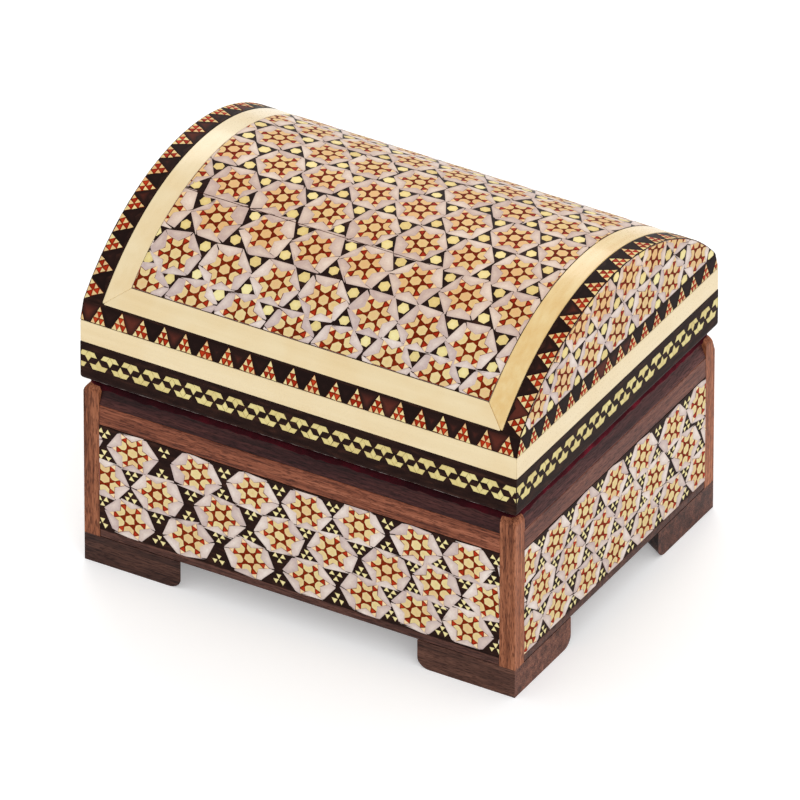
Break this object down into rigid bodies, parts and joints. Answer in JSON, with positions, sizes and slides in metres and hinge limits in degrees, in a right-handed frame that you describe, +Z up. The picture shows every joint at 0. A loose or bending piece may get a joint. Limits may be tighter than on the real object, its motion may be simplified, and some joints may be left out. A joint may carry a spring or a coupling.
{
  "type": "inlaid wooden box",
  "caption": "Small rectangular keepsake box with a hinged, barrel-vaulted lid, star marquetry panels, cream borders, corner posts, bracket feet and a velvet lining.",
  "frame": {"origin": "on the table, under the middle of the box", "axes": "+X along the long front to the right, +Y from the front to the hinged back, +Z up"},
  "size_m": [0.1008, 0.0812, 0.0795],
  "materials": {
    "walnut": "satin",
    "dark_walnut": "satin",
    "core_wood": "matte",
    "star_inlay": "gloss",
    "ebony_band": "gloss",
    "cream_strip": "gloss",
    "velvet": "matte",
    "brass": "polished"
  },
  "bodies": {
    "base": {"back_wall": "dark_walnut", "base_hinge_brads": "brass", "base_lining": "velvet", "case_rail_back": "walnut", "case_rail_front": "walnut", "case_rail_left": "walnut", "case_rail_right": "walnut", "floor_board": "dark_walnut", "floor_pad": "velvet", "foot_back_left": "dark_walnut", "foot_back_right": "dark_walnut", "foot_front_left": "dark_walnut", "foot_front_right": "dark_walnut", "front_wall": "dark_walnut", "hinge_base_leaf_left": "brass", "hinge_base_leaf_right": "brass", "hinge_pin_left": "brass", "hinge_pin_right": "brass", "inlay_panel_back": "star_inlay", "inlay_panel_front": "star_inlay", "inlay_panel_left": "star_inlay", "inlay_panel_right": "star_inlay", "left_wall": "dark_walnut", "post_back_left": "walnut", "post_back_right": "walnut", "post_front_left": "walnut", "post_front_right": "walnut", "right_wall": "dark_walnut"},
    "lid": {"arch_band_left": "ebony_band", "arch_band_right": "ebony_band", "chain_band_back": "ebony_band", "chain_band_front": "ebony_band", "chain_band_left": "ebony_band", "chain_band_right": "ebony_band", "cream_strip_back": "cream_strip", "cream_strip_front": "cream_strip", "cream_strip_left": "cream_strip", "cream_strip_right": "cream_strip", "dome_border_back": "cream_strip", "dome_border_front": "cream_strip", "dome_border_left": "cream_strip", "dome_border_right": "cream_strip", "dome_inlay": "star_inlay", "dome_shell": "core_wood", "hinge_lid_leaf_left": "brass", "hinge_lid_leaf_right": "brass", "lid_end_left": "core_wood", "lid_end_right": "core_wood", "lid_hinge_brads": "brass", "lid_lining": "velvet", "lid_rail_back": "core_wood", "lid_rail_front": "core_wood", "triangle_band_back": "ebony_band", "triangle_band_front": "ebony_band", "triangle_band_left": "ebony_band", "triangle_band_right": "ebony_band", "tympanum_left": "star_inlay", "tympanum_right": "star_inlay"}
  },
  "joints": [
    {"name": "lid_hinge", "type": "hinge", "parent": "base", "child": "lid", "pos_m": [0, 0.0388, 0.04275], "axis": [-1, 0, 0], "range_deg": [0, 105]}
  ]
}
